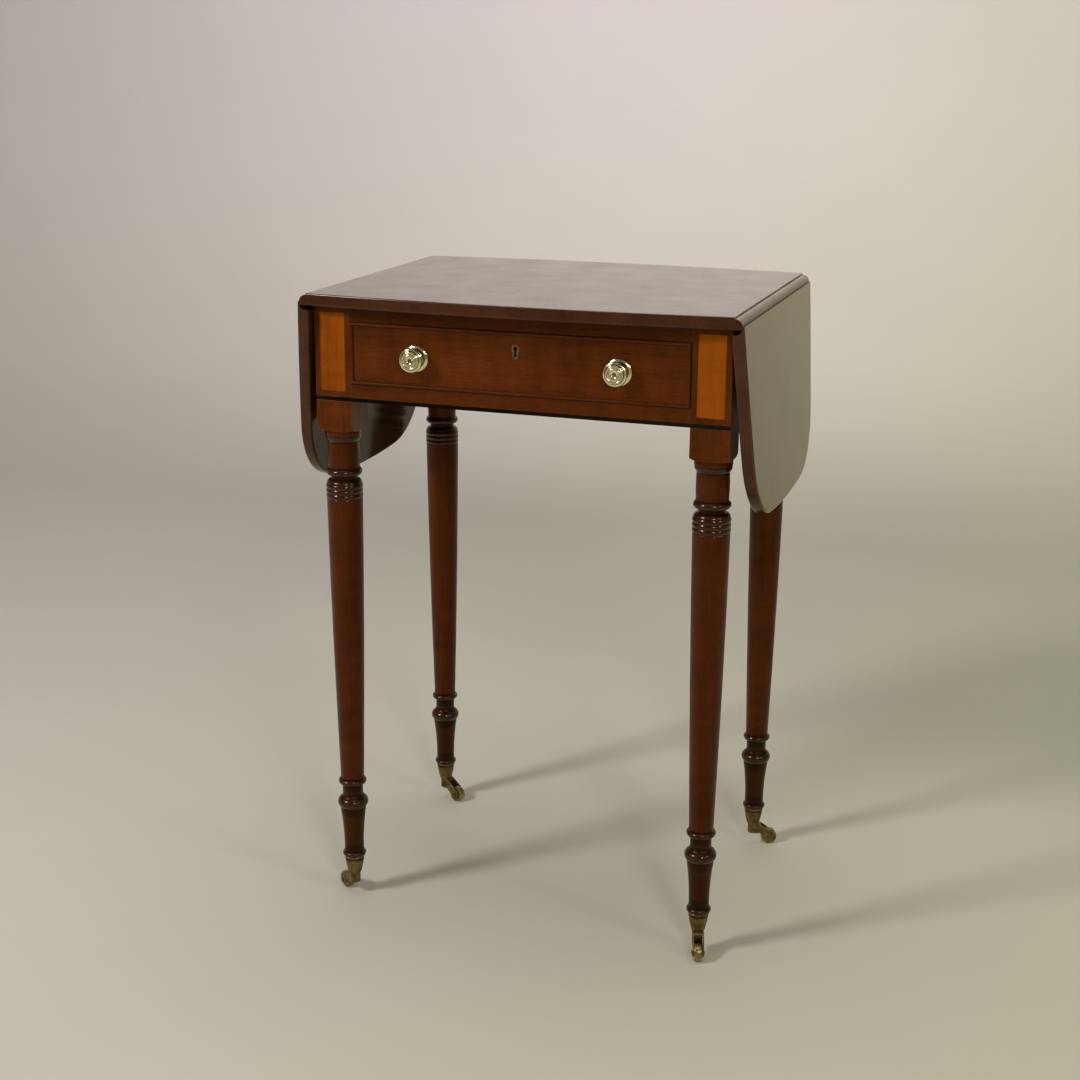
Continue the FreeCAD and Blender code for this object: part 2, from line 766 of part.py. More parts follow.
def cock_bead(half_span, low, high, back, proud):
    """Four mitred strips round a drawer front, with a rounded nose standing proud of it."""
    outer = [(-half_span, low), (half_span, low), (half_span, high), (-half_span, high)]
    inner_half = half_span - bead_width
    inner = [(-inner_half, low + bead_width), (inner_half, low + bead_width),
             (inner_half, high - bead_width), (-inner_half, high - bead_width)]
    nose_y = -half_depth - proud
    strips = []
    for index in range(len(outer)):
        following = (index + 1) % len(outer)
        points = [outer[index], outer[following], inner[following], inner[index]]
        face = flat_outline(points, lambda x, z: Vector(x, nose_y, z))
        strip = face.extrude(Y * (back - nose_y))
        nose = []
        for edge in strip.Edges:
            in_front = all(abs(vertex.Y - nose_y) < 0.001 for vertex in edge.Vertexes)
            if in_front and edge.Length > 2 * bead_width:
                nose.append(edge)
        strips.append(strip.makeFillet(bead_width * 0.45, nose))
    return strips


def bead_rebate(half_span, low, high, back):
    inner_half = half_span - bead_width
    ring = box((-half_span, -half_depth - 1, low), (half_span, back, high))
    return ring.cut(box((-inner_half, -half_depth - 2, low + bead_width),
                        (inner_half, back + 1, high - bead_width)))


bead_back = -half_depth + bead_depth
drawer_bead = cock_bead(drawer_half, drawer_front_foot, drawer_front_head, bead_back, bead_proud)
drawer_rebate = bead_rebate(drawer_half, drawer_front_foot, drawer_front_head, bead_back)
parts["drawer_cock_bead"] = Part.Compound(drawer_bead)
parts["sham_cock_bead"] = Part.Compound([mirror_y(strip) for strip in drawer_bead])
back_rail = back_rail.cut(mirror_y(drawer_rebate))


# Knobs. A turned brass rose, neck and ringed face, with the spindle drawn up by a nut inside.

def knob(spindle_length):
    """A knob lying along -Y with its back on the plane y = 0."""
    face_z = knob_projection
    ring = knob_radius / 6
    turned = Turning(ring, face_z - ring / 2)
    turned.curve(ring * 2.4, -ring / 2, ring * 0.2)
    turned.curve(ring * 3.4, ring * 0.6, ring * 0.3)
    turned.curve(ring * 4.6, 0.0, ring * 0.45)
    turned.cut(ring * 4.9, ring * 0.3)
    turned.curve(knob_radius, ring * 1.4, ring * 0.5)
    turned.curve(ring * 3.2, knob_projection * 0.32, -ring * 0.6)
    turned.curve(ring * 4.8, knob_projection * 0.22, -ring * 0.5)
    turned.curve(knob_rose_radius, ring * 0.7, ring * 0.2)
    rose_drop = turned.point.z
    turned.curve(knob_rose_radius - ring * 0.3, rose_drop, ring * 0.3)
    turned.cut(knob_spindle_radius)
    turned.cut(knob_spindle_radius, spindle_length)
    return turned.solid().rotated(ORIGIN, X, 90)


spindle_length = drawer_front_thickness + knob_nut_thickness
knob_z = (drawer_front_foot + drawer_front_head) / 2 - knob_drop
drawer_knobs = {}
for name, side in (("left", -1), ("right", 1)):
    drawer_knobs[name] = moved(knob(spindle_length), side * knob_spread / 2, -half_depth, knob_z)
    parts["drawer_" + name + "_knob"] = drawer_knobs[name]
right_nut = rod(knob_nut_radius, (knob_spread / 2, drawer_front_back, knob_z), Y, knob_nut_thickness)
right_nut = right_nut.cut(drawer_knobs["right"])
parts["knob_nuts"] = Part.Compound([right_nut, mirror_x(right_nut)])
right_sham_knob = mirror_y(moved(knob(sham_spindle_length), knob_spread / 2, -half_depth, knob_z))
sham_knobs = [right_sham_knob, mirror_x(right_sham_knob)]
parts["sham_knobs"] = Part.Compound(sham_knobs)


# Keyhole escutcheon, a brass plate of keyhole outline let into the wood.

keyhole_z = drawer_front_head - keyhole_inset


def teardrop(head_radius, tail_radius, back_y, front_y):
    """A round head over a narrower round tail, joined by tangents, as a plate across Y."""
    tail_z = keyhole_z - escutcheon_drop
    lean = math.asin((head_radius - tail_radius) / escutcheon_drop)
    side = Vector(math.cos(lean), 0, -math.sin(lean))
    head = Vector(0, front_y, keyhole_z)
    tail = Vector(0, front_y, tail_z)
    mirrored = Vector(-side.x, 0, side.z)
    edges = [
        arc(head + mirrored * head_radius, head + Z * head_radius, head + side * head_radius),
        line(head + side * head_radius, tail + side * tail_radius),
        arc(tail + side * tail_radius, tail - Z * tail_radius, tail + mirrored * tail_radius),
        line(tail + mirrored * tail_radius, head + mirrored * head_radius),
    ]
    return Part.Face(Part.Wire(edges)).extrude(Y * (back_y - front_y))


def keyhole(front_y, back_y):
    slot_half = keyhole_slot / 2
    hole = rod(keyhole_radius, (0, front_y, keyhole_z), Y, back_y - front_y)
    return hole.fuse(box((-slot_half, front_y, keyhole_z - escutcheon_drop),
                         (slot_half, back_y, keyhole_z))).removeSplitter()


plate_front = -half_depth - escutcheon_proud
plate_back = -half_depth + escutcheon_depth
escutcheon_plate = teardrop(escutcheon_head_radius, escutcheon_tail_radius, plate_back, plate_front)
escutcheon = escutcheon_plate.cut(keyhole(plate_front - 1, plate_back + 1))
parts["keyhole_escutcheon"] = escutcheon
parts["sham_escutcheon"] = mirror_y(escutcheon)
back_rail = back_rail.cut(sham_knobs + [mirror_y(escutcheon_plate)])
parts["back_rail"] = back_rail


# Lock, let into the back of the drawer front from above. Its bolt rises into the upper rail.

lock_front = drawer_front_back - lock_depth
lock_head = drawer_front_head - lock_top_gap
lock_foot = lock_head - lock_height
bolt_y = drawer_front_back - lock_depth / 2
bolt_head = lock_head - bolt_gap
bolt_foot = bolt_head - bolt_height
lock_body = box((-lock_width / 2, lock_front, lock_foot), (lock_width / 2, drawer_front_back, lock_head))
lock_recess = box((-lock_width / 2, lock_front, lock_foot),
                  (lock_width / 2, drawer_front_back, drawer_front_head))


def bolt_box(room, foot, head):
    half_wide = bolt_width / 2 + room
    half_thick = bolt_thickness / 2 + room
    return box((-half_wide, bolt_y - half_thick, foot), (half_wide, bolt_y + half_thick, head))


bolt_slot = bolt_box(bolt_gap, bolt_foot - bolt_gap, lock_head + 1)
lock_keyhole = keyhole(lock_front - 1, lock_front + lock_face)
parts["lock_case"] = lock_body.cut([bolt_slot, lock_keyhole])
parts["lock_bolt"] = bolt_box(0.0, bolt_foot, bolt_head)
mortice = bolt_box(mortice_room, opening_head - 1, bolt_head + bolt_travel + mortice_room)
parts["upper_drawer_rail"] = upper_rail.cut(top_screws + [mortice])
parts["lower_drawer_rail"] = lower_rail

drawer_front = box((-drawer_half, -half_depth, drawer_front_foot),
                   (drawer_half, drawer_front_back, drawer_front_head))
front_cuts = [drawer_rebate, right_side, left_side, drawer_bottom, escutcheon_plate, lock_recess,
              keyhole(-half_depth, lock_front)] + list(drawer_knobs.values())
parts["drawer_front"] = drawer_front.cut(front_cuts)
parts["drawer_right_side"] = right_side
parts["drawer_left_side"] = left_side
parts["drawer_back"] = drawer_back
parts["drawer_bottom"] = drawer_bottom


# Casters, drawn on the Z axis with the wheel trailing towards +X. The cup is fixed to the foot,
# the fork turns in its base, and the wheel runs on an axle riveted through the fork's eyes.

wheel_radius = wheel_d / 2


def caster_cup():
    cup = Turning(cup_top_d / 2 + cup_rim_proud, cup_head)
    cup.curve(cup_top_d / 2, cup_rim_height, cup_rim_proud / 2)
    cup.curve(cup_foot_d / 2, cup_height - cup_rim_height, cup_rim_proud / 2)
    hollow = Turning(spigot_head_radius, cup_head)
    hollow.cut(spigot_foot_radius, cup_head - spigot_foot)
    bore = rod(pivot_radius + running_clearance, (0, 0, cup_foot), Z, pivot_length)
    return cup.solid().cut([hollow.solid(), bore])


def caster_fork():
    """A round stem that sweeps back and down into two cheeks, one each side of the wheel."""
    shoulder = cup_foot - fork_thrust_gap
    slot_start = caster_trail - wheel_radius - fork_wheel_gap
    eye = on_xz(caster_trail, wheel_radius)
    heel_z = wheel_radius + fork_heel_rise
    back_head = on_xz(-fork_stem_radius, shoulder)
    back_foot = on_xz(-fork_stem_radius, heel_z + fork_heel_round)
    heel = on_xz(fork_heel_round - fork_stem_radius, heel_z)
    heel_turn = (back_foot + heel) / 2 - (X + Z) * fork_heel_round * 0.2
    heel_end = on_xz(slot_start - fork_heel_round, heel_z)
    reach = eye - heel_end
    steepness = math.atan2(reach.z, reach.x) - math.asin(fork_eye_radius / reach.Length)
    tangent_length = math.sqrt(reach.Length ** 2 - fork_eye_radius ** 2)
    cheek_low = heel_end + on_xz(math.cos(steepness), math.sin(steepness)) * tangent_length
    eye_low = eye - Z * fork_eye_radius
    eye_end = eye + X * fork_eye_radius
    crown = eye + X * fork_heel_round + Z * fork_hood_rise
    crown_turn = (eye_end + crown) / 2 + (X * 2 + Z) * fork_heel_round / 3
    stem_head = on_xz(fork_stem_radius, shoulder)
    edges = [
        line(back_head, back_foot),
        arc(back_foot, heel_turn, heel),
        line(heel, heel_end),
        line(heel_end, cheek_low),
        arc(cheek_low, eye_low, eye_end),
        arc(eye_end, crown_turn, crown),
        line(crown, stem_head),
        line(stem_head, back_head),
    ]
    side = Part.Face(Part.Wire(edges)).extrude(Y * fork_width)
    side = moved(side, y=-fork_width / 2)
    plan = rod(fork_stem_radius, (0, 0, 0), Z, shoulder)
    plan = plan.fuse(box((0, -fork_width / 2, 0), (caster_trail + wheel_radius, fork_width / 2, shoulder)))
    horn = side.common(plan)
    slot_half = wheel_width / 2 + fork_side_gap
    slot = box((slot_start, -slot_half, 0), (caster_trail + wheel_radius, slot_half, shoulder))
    pivot = rod(pivot_radius, (0, 0, shoulder), Z, pivot_length + fork_thrust_gap - pivot_end_gap)
    eye_bore = rod(axle_radius, (caster_trail, -fork_width, wheel_radius), Y, 2 * fork_width)
    return horn.cut([slot, eye_bore]).fuse(pivot).removeSplitter()


def laid_across(turned):
    """Turns a piece made about the Z axis onto the axle's line."""
    return moved(turned.rotated(ORIGIN, X, 90), x=caster_trail, z=wheel_radius)


def caster_wheel():
    half = wheel_width / 2
    hub_radius = axle_radius + wheel_rim / 2
    rim_radius = wheel_radius - wheel_rim
    rim = Turning(hub_radius, half)
    rim.cut(hub_radius + wheel_dish, wheel_dish)
    rim.cut(rim_radius - wheel_dish)
    rim.cut(rim_radius, -wheel_dish)
    rim.cut(wheel_radius - wheel_crown)
    rim.curve(wheel_radius - wheel_crown, wheel_width, wheel_crown)
    rim.cut(rim_radius)
    rim.cut(rim_radius - wheel_dish, -wheel_dish)
    rim.cut(hub_radius + wheel_dish)
    rim.cut(hub_radius, wheel_dish)
    bore = rod(axle_radius + running_clearance, (0, 0, -wheel_width), Z, 2 * wheel_width)
    return laid_across(rim.solid().cut(bore))


def caster_axle():
    half = fork_width / 2
    axle = Turning(axle_radius * 0.6, half + axle_head_height)
    axle.curve(axle_head_radius, axle_head_height, axle_head_height * 0.3)
    axle.cut(axle_radius)
    axle.cut(axle_radius, fork_width)
    axle.cut(axle_head_radius)
    axle.curve(axle_radius * 0.6, axle_head_height, axle_head_height * 0.3)
    return laid_across(axle.solid())


cups = []
for corner, (side, end) in corners.items():
    place = (side * leg_x, end * leg_y)
    turn = caster_turn[corner]
    cups.append(moved(caster_cup(), *place))
    for piece, made in (("fork", caster_fork()), ("wheel", caster_wheel()), ("axle", caster_axle())):
        parts["caster_" + piece + "_" + corner] = moved(made.rotated(ORIGIN, Z, turn), *place)
parts["caster_cups"] = Part.Compound(cups)

os.makedirs("parts", exist_ok=True)
for name, shape in sorted(parts.items()):
    shape.exportStep("parts/" + name + ".step")
print(len(parts), "parts")
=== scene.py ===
import json
import math
import bmesh
import bpy
from mathutils import Matrix, Vector
from mathutils.geometry import intersect_sphere_sphere_2d

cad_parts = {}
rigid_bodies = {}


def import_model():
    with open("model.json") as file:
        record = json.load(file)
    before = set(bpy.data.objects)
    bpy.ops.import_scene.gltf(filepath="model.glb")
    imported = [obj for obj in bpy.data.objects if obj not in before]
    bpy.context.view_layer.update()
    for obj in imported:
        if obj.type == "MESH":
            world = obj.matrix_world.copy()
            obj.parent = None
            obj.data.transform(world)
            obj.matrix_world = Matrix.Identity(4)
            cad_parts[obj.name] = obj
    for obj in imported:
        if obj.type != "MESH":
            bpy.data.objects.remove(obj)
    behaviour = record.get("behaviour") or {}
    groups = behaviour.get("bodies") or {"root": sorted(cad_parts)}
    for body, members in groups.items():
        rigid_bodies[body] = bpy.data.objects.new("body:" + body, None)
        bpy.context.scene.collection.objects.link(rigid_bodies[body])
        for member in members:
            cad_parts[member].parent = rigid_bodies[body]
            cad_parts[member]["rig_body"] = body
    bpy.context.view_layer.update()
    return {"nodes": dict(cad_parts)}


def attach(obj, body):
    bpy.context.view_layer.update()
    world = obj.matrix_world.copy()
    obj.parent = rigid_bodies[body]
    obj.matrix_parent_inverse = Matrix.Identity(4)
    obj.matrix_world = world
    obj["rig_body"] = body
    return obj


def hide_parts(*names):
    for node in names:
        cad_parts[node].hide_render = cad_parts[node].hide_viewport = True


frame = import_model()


# Centre board of the top. One broad mahogany board with a bowed front and back, French polished until
# it mirrors the room. The step and quarter round of the rule joint are planed along both long edges.
# The underside has a thinner coat and is painted dark as shade, the rim is painted a little darker as
# shade, and the upright faces of the step are painted near black as the joint's shadow line.

def make_node(tree, kind, sockets=None, **settings):
    """Adds a shader node; a socket's value is a plain value, or the output that feeds it."""
    made = tree.nodes.new(kind)
    for key, value in settings.items():
        setattr(made, key, value)
    for key, value in (sockets or {}).items():
        if isinstance(value, bpy.types.NodeSocket):
            tree.links.new(value, made.inputs[key])
        else:
            made.inputs[key].default_value = value
    return made


def cloud(tree, place, scale, detail=3.0, roughness=0.55):
    """Soft noise between 0 and 1; its scale is the number of blotches to the metre."""
    sockets = {"Vector": place, "Scale": scale, "Detail": detail, "Roughness": roughness}
    return make_node(tree, "ShaderNodeTexNoise", sockets).outputs["Fac"]


def spread(tree, factor, from_low, from_high, low, high):
    """Carries a factor from one span of values to another, and stops at both ends."""
    sockets = {"Value": factor, "From Min": from_low, "From Max": from_high, "To Min": low, "To Max": high}
    return make_node(tree, "ShaderNodeMapRange", sockets).outputs["Result"]


def ramp(tree, factor, *stops):
    """Turns a factor into a colour along the given stops, each a position and a colour."""
    made = make_node(tree, "ShaderNodeValToRGB", {"Fac": factor})
    elements = made.color_ramp.elements
    while len(elements) < len(stops):
        elements.new(0.5)
    for element, (position, colour) in zip(elements, stops):
        element.position = position
        element.color = (*colour, 1.0)
    return made.outputs["Color"]


def average(tree, share, first, second):
    return make_node(tree, "ShaderNodeMix", {0: share, 2: first, 3: second}).outputs[0]


def tinted(tree, factor, colour, tint, blend="MIX"):
    """Lays a tint over a colour where the factor is 1."""
    made = make_node(tree, "ShaderNodeMix", data_type="RGBA", blend_type=blend)
    tree.links.new(factor, made.inputs[0])
    tree.links.new(colour, made.inputs[6])
    made.inputs[7].default_value = (*tint, 1.0)
    return made.outputs[2]


def wood(name, grain, seed, deep, warm, polish, pores=0.45, chips=0.0):
    """Wood with a ribbon figure, growth lines and open pores along the grain axis, under a worn polish.
    The mouldings of a turning are painted darker and greyer as shade, their hollows darker still with painted
    shade and old wax, and rubbing makes their crests glossier."""
    made = bpy.data.materials.new(name)
    made.use_nodes = True
    tree = made.node_tree
    shader = tree.nodes["Principled BSDF"]
    own = make_node(tree, "ShaderNodeTexCoord").outputs["Object"]
    shift = (seed * 0.37, seed * 0.61, seed * 0.83)
    place = make_node(tree, "ShaderNodeMapping", {"Vector": own, "Location": shift}).outputs["Vector"]
    long_grain, cross_grain = 0.06, 0.3
    stretch = {"x": (long_grain, 1, 1), "y": (1, long_grain, 1), "z": (1, 1, long_grain)}[grain]
    across = {"x": (1, 1, cross_grain), "y": (cross_grain, 1, 1), "z": (cross_grain, cross_grain, 1)}[grain]
    fibres = make_node(tree, "ShaderNodeMapping", {"Vector": place, "Scale": stretch}).outputs["Vector"]
    ripples = make_node(tree, "ShaderNodeMapping", {"Vector": place, "Scale": across}).outputs["Vector"]
    ribbon = cloud(tree, fibres, scale=28.0, detail=3.0, roughness=0.6)
    lines = cloud(tree, fibres, scale=230.0, detail=4.0, roughness=0.65)
    blotch = cloud(tree, place, scale=11.0, detail=3.0)
    mottle = cloud(tree, ripples, scale=60.0)
    streaks, patches = average(tree, 0.42, ribbon, lines), average(tree, 0.5, blotch, mottle)
    figure = average(tree, 0.45, streaks, patches)
    colour = ramp(tree, figure, (0.38, deep), (0.62, warm))
    vessel = cloud(tree, fibres, scale=1400.0, detail=1.0)
    pore = spread(tree, vessel, 0.57, 0.68, 0.0, pores)
    colour = tinted(tree, pore, colour, (0.12, 0.08, 0.06), "MULTIPLY")
    moulded = make_node(tree, "ShaderNodeAttribute", attribute_name="moulded").outputs["Fac"]
    # Painted shade: every moulding of a turning, crest and hollow alike, is darkened and greyed.
    painted_moulding_shade = spread(tree, moulded, 0.02, 0.12, 0.0, 0.72)
    colour = tinted(tree, painted_moulding_shade, colour, (0.22, 0.20, 0.19), "MULTIPLY")
    hollow = make_node(tree, "ShaderNodeAttribute", attribute_name="hollow").outputs["Fac"]
    # Painted shade and old wax: the hollows of a turning are darkened further.
    wax_and_hollow_shade = spread(tree, hollow, 0.02, 0.5, 0.0, 0.8)
    colour = tinted(tree, wax_and_hollow_shade, colour, (0.12, 0.09, 0.08), "MULTIPLY")
    chip = cloud(tree, place, scale=140.0, detail=2.0)
    chipped = spread(tree, chip, 0.64, 0.70, 0.0, chips)
    colour = tinted(tree, chipped, colour, (0.36, 0.25, 0.17))
    tree.links.new(colour, shader.inputs["Base Color"])
    rub = cloud(tree, place, scale=24.0, detail=4.0)
    sheen = spread(tree, rub, 0.3, 0.7, polish["sheen"] * 0.75, polish["sheen"] * 1.3)
    tree.links.new(sheen, shader.inputs["Roughness"])
    bump = make_node(tree, "ShaderNodeBump", {"Height": pore, "Strength": 0.1, "Distance": 0.0002}, invert=True)
    tree.links.new(bump.outputs["Normal"], shader.inputs["Normal"])
    crest = make_node(tree, "ShaderNodeMath", {0: moulded, 1: hollow}, operation="SUBTRACT").outputs["Value"]
    crest_coat = max(polish["coat"], 0.45)
    coat = spread(tree, crest, 0.02, 0.12, polish["coat"], crest_coat)
    tree.links.new(coat, shader.inputs["Coat Weight"])
    shader.inputs["Coat Roughness"].default_value = polish["coat_sheen"]
    shader.inputs["Coat IOR"].default_value = 1.6
    shader.inputs["Specular IOR Level"].default_value = polish["specular"]
    shader.inputs["Specular Tint"].default_value = (*polish["tint"], 1.0)
    return made


def stood_in(node, made, materials):
    """Puts a finished shape in the place of a solid, on the same body."""
    mesh = bpy.data.meshes.new("finished_" + node)
    made.to_mesh(mesh)
    made.free()
    for material in materials:
        mesh.materials.append(material)
    piece = bpy.data.objects.new("finished_" + node, mesh)
    bpy.context.scene.collection.objects.link(piece)
    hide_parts(node)
    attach(piece, frame["nodes"][node]["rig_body"])
    return piece


mirror_polish = {"coat": 0.65, "coat_sheen": 0.07, "sheen": 0.22, "specular": 0.5, "tint": (0.93, 0.94, 0.86)}
yellow_polish = {"coat": 0.28, "coat_sheen": 0.08, "sheen": 0.15, "specular": 0.7, "tint": (1.0, 0.93, 0.66)}
hand_polish = {"coat": 0.05, "coat_sheen": 0.1, "sheen": 0.36, "specular": 0.30, "tint": (1.0, 0.46, 0.12)}
no_polish = {"coat": 0.0, "coat_sheen": 0.3, "sheen": 0.65, "specular": 0.15, "tint": (1.0, 0.8, 0.6)}
under_wood = wood("mahogany_underside", "y", seed=5.0, deep=(0.032, 0.012, 0.005), warm=(0.068, 0.028, 0.012),
                  polish=no_polish)


def board(node, seed, face, polish, varnish):
    """Polishes the face of a board, dulls its rim and darkens it a little with painted shade, and paints the
    side away from the face near black as shade;
    the face is named by the way it looks, and the varnish by the tint that it gives the wood."""
    made = wood("mahogany_" + node, "y", seed, deep=(0.040, 0.012, 0.004), warm=(0.095, 0.030, 0.010),
                polish=polish)
    tree = made.node_tree
    shader = tree.nodes["Principled BSDF"]
    outward = make_node(tree, "ShaderNodeTexCoord").outputs["Normal"]
    toward_face = make_node(tree, "ShaderNodeVectorMath", {0: outward, 1: face}, operation="DOT_PRODUCT")
    facing = toward_face.outputs["Value"]
    colour = shader.inputs["Base Color"].links[0].from_socket
    # Painted shade: the rim, where the surface turns away from the face, is darkened a little.
    painted_rim_shade = spread(tree, facing, 0.55, 0.25, 0.0, 0.15)
    colour = tinted(tree, painted_rim_shade, colour, (0.22, 0.14, 0.10), "MULTIPLY")
    # Painted shade: the side away from the face is mixed most of the way to near black.
    painted_underside_shade = spread(tree, facing, -0.9, -0.97, 0.0, 0.7)
    colour = tinted(tree, painted_underside_shade, colour, (0.030, 0.012, 0.006))
    tree.links.new(colour, shader.inputs["Base Color"])
    on_rim, on_face, rim_coat, rim_specular, rim_tint = 0.2, 0.75, 0.2, 0.2, (1.0, 0.80, 0.66)
    coat = spread(tree, facing, on_rim, on_face, rim_coat, polish["coat"])
    tree.links.new(coat, shader.inputs["Coat Weight"])
    specular = spread(tree, facing, on_rim, on_face, rim_specular, polish["specular"])
    tree.links.new(specular, shader.inputs["Specular IOR Level"])
    gleam = ramp(tree, facing, (on_rim, rim_tint), (on_face, polish["tint"]))
    tree.links.new(gleam, shader.inputs["Specular Tint"])
    shader.inputs["Coat Tint"].default_value = (*varnish, 1.0)
    return made


level, underside = 0.7175, 0.7040
hinge_x, pin_z = 0.2331223, 0.7075
rule_radius, rule_gap, under_pin = 0.0082, 0.0003, 0.0035
half_depth, bow_rise = 0.192, 0.013
bow_radius = (hinge_x ** 2 + bow_rise ** 2) / (2 * bow_rise)


def bow(x):
    """Half the depth of the boards at a distance x from the middle."""
    return half_depth - bow_radius + math.sqrt(bow_radius ** 2 - x ** 2)


def prism(made, outline, near, far):
    """Draws an outline of x and z points, and pulls it from one y to the other."""
    corners = [made.verts.new((x, near, z)) for x, z in outline]
    sides = [made.edges.new(pair) for pair in zip(corners, corners[1:] + corners[:1])]
    ends = bmesh.ops.edgenet_fill(made, edges=sides)["faces"]
    pulled = bmesh.ops.extrude_face_region(made, geom=ends)["geom"]
    bmesh.ops.translate(made, verts=[part for part in pulled if isinstance(part, bmesh.types.BMVert)],
                        vec=(0, far - near, 0))


arris_bend = math.radians(50)


def round_arris(made, edges, radius, segments):
    bmesh.ops.bevel(made, geom=edges, offset=radius, offset_type="OFFSET", affect="EDGES", segments=segments,
                    profile=0.5, clamp_overlap=False, material=-1)


def carved(piece, waste):
    """Takes the waste away from a board, and leaves its flats flat and its rounds smooth."""
    bmesh.ops.recalc_face_normals(waste, faces=waste.faces)
    waste_mesh = bpy.data.meshes.new("waste")
    waste.to_mesh(waste_mesh)
    waste.free()
    tool = bpy.data.objects.new("waste", waste_mesh)
    bpy.context.scene.collection.objects.link(tool)
    cut = piece.modifiers.new("cut", "BOOLEAN")
    cut.object = tool
    cut.operation = "DIFFERENCE"
    cut.solver = "EXACT"
    done = piece.evaluated_get(bpy.context.evaluated_depsgraph_get())
    piece.data = bpy.data.meshes.new_from_object(done)
    piece.modifiers.clear()
    bpy.data.objects.remove(tool)
    bpy.data.meshes.remove(waste_mesh)
    piece.data.shade_smooth()
    piece.data.set_sharp_from_angle(angle=math.radians(35))


def flats_first(piece):
    """Lets the flats settle the shading where they meet a rounding."""
    settle = piece.modifiers.new("settle", "WEIGHTED_NORMAL")
    settle.keep_sharp = True
    settle.weight = 100


top_wood = board("table_top", seed=1.0, face=(0, 0, 1), polish=mirror_polish, varnish=(1.0, 0.97, 0.80))
top_tree = top_wood.node_tree
top_outward = make_node(top_tree, "ShaderNodeTexCoord").outputs["Normal"]
sideways = make_node(top_tree, "ShaderNodeSeparateXYZ", {"Vector": top_outward}).outputs["X"]
quirk = make_node(top_tree, "ShaderNodeMath", {0: sideways}, operation="ABSOLUTE").outputs["Value"]
top_shader = top_tree.nodes["Principled BSDF"]
top_colour = top_shader.inputs["Base Color"].links[0].from_socket
# Painted shade: the upright faces of the rule joint's step, and the nose of its round, are painted near black
# as the shadow line of the joint.
painted_quirk_shade = spread(top_tree, quirk, 0.97, 0.99, 0.0, 0.85)
quirk_shaded = tinted(top_tree, painted_quirk_shade, top_colour, (0.008, 0.004, 0.003))
top_tree.links.new(quirk_shaded, top_shader.inputs["Base Color"])

rounded = [(hinge_x, level), (hinge_x, pin_z + rule_radius)]
lowest = math.asin(under_pin / rule_radius)
rule_steps, slices = 16, 64
for step in range(1, rule_steps + 1):
    turn = math.pi / 2 - (math.pi / 2 + lowest) * step / rule_steps
    rounded.append((hinge_x + rule_radius * math.cos(turn), pin_z + rule_radius * math.sin(turn)))
top = bmesh.new()
prism(top, rounded + [(-x, z) for x, z in reversed(rounded)], -1.0, 1.0)
for step in range(1, slices):
    bmesh.ops.bisect_plane(top, geom=top.verts[:] + top.edges[:] + top.faces[:], dist=0.000001,
                           plane_co=(hinge_x * (2 * step / slices - 1), 0, 0), plane_no=(1, 0, 0))
for vert in top.verts:
    vert.co.y = math.copysign(bow(vert.co.x), vert.co.y)
bmesh.ops.recalc_face_normals(top, faces=top.faces)


def rim_edges(made, upright):
    """The edges between the front or back rim and the face that looks up, or down."""
    found = []
    for edge in made.edges:
        heights = sorted(face.normal.z * upright for face in edge.link_faces)
        at_an_end = abs(edge.verts[0].co.y + edge.verts[1].co.y) > 0.3
        if heights[-1] > 0.99 and abs(heights[0]) < 0.05 and at_an_end:
            found.append(edge)
    return found


rim_round = 0.0025
round_arris(top, rim_edges(top, 1), radius=0.0017, segments=5)
round_arris(top, rim_edges(top, -1), radius=rim_round, segments=5)
sharp = [edge for edge in top.edges if edge.calc_face_angle_signed(0.0) > arris_bend]
round_arris(top, sharp, radius=0.0003, segments=2)
table_top = stood_in("table_top", top, [top_wood])
seats = bmesh.new()
hinge_places = (-0.095, 0.095)
knuckle_room, room_steps, seat_half = 0.0043, 12, 0.0254
flap_top, flap_gap, below = -0.0019, 0.0003, -0.0045
short_flap, past_round = -0.026, 0.0095
for side in (-1, 1):
    for hinge_y in hinge_places:
        arch = [(short_flap, below), (short_flap, flap_top), (-knuckle_room, flap_top)]
        for step in range(room_steps + 1):
            turn = math.pi * step / room_steps
            arch.append((-knuckle_room * math.cos(turn), knuckle_room * math.sin(turn)))
        arch += [(knuckle_room, flap_top + flap_gap), (past_round, flap_top + flap_gap), (past_round, below)]
        outline = [(side * (hinge_x + x), pin_z + z) for x, z in arch]
        prism(seats, outline, hinge_y - seat_half, hinge_y + seat_half)
carved(table_top, seats)
flats_first(table_top)


# Drop leaves. Each is a mahogany board of the same stuff as the top, hollowed along its hinge edge to
# ride over the quarter round, with a rounded rim and broad round corners. The side that hides when the
# leaf is up has a thinner coat and is painted dark as shade, and the rim is painted a little darker as shade.

leaf_length, end_radius, corner_radius, hang = 0.215, 1.0, 0.084, math.radians(85.5)
leaf_end = hinge_x + leaf_length
bow_centre = Vector((0, half_depth - bow_radius))
end_centre = Vector((leaf_end - end_radius, 0))
crossings = intersect_sphere_sphere_2d(bow_centre, bow_radius - corner_radius, end_centre,
                                       end_radius - corner_radius)
corner_centre = max(crossings, key=lambda place: place.x)
leaf_edge = hinge_x + rule_gap
bow_end = corner_centre + (corner_centre - bow_centre).normalized() * corner_radius
arc_end = corner_centre + (corner_centre - end_centre).normalized() * corner_radius
half_plan = []
bow_steps, corner_steps, end_steps = 24, 28, 14
for step in range(bow_steps):
    x = leaf_edge + (bow_end.x - leaf_edge) * step / bow_steps
    half_plan.append((x, bow(x)))
first_turn = math.atan2(*(bow_end - corner_centre).yx)
last_turn = math.atan2(*(arc_end - corner_centre).yx)
